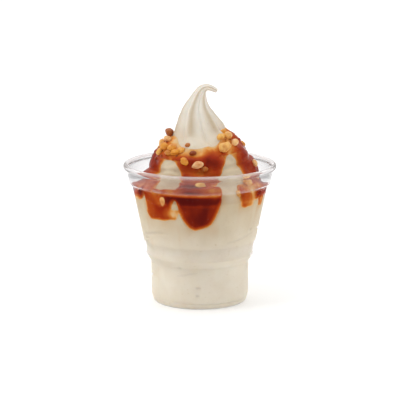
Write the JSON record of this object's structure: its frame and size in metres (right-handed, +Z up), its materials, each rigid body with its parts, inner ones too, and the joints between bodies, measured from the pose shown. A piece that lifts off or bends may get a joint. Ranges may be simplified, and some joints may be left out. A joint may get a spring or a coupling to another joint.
{
  "type": "caramel sundae",
  "caption": "Soft-serve vanilla ice cream with a curled peak in a clear stepped plastic cup, under caramel sauce and chopped peanuts.",
  "frame": {"origin": "centre of the cup's foot ring, on the surface that it stands on", "axes": "+Z up along the cup's axis, -Y towards the front, +X to the right, which is the way the peak's tip curls"},
  "size_m": [0.092, 0.092, 0.1318],
  "materials": {
    "clear_plastic": "clear thin moulded plastic",
    "vanilla_ice_cream": "soft cream white, slightly wet",
    "caramel": "glossy thick caramel with chopped peanuts"
  },
  "bodies": {
    "root": {"cup": "clear_plastic", "ice_cream": "vanilla_ice_cream", "caramel_sauce": "caramel"}
  },
  "joints": []
}
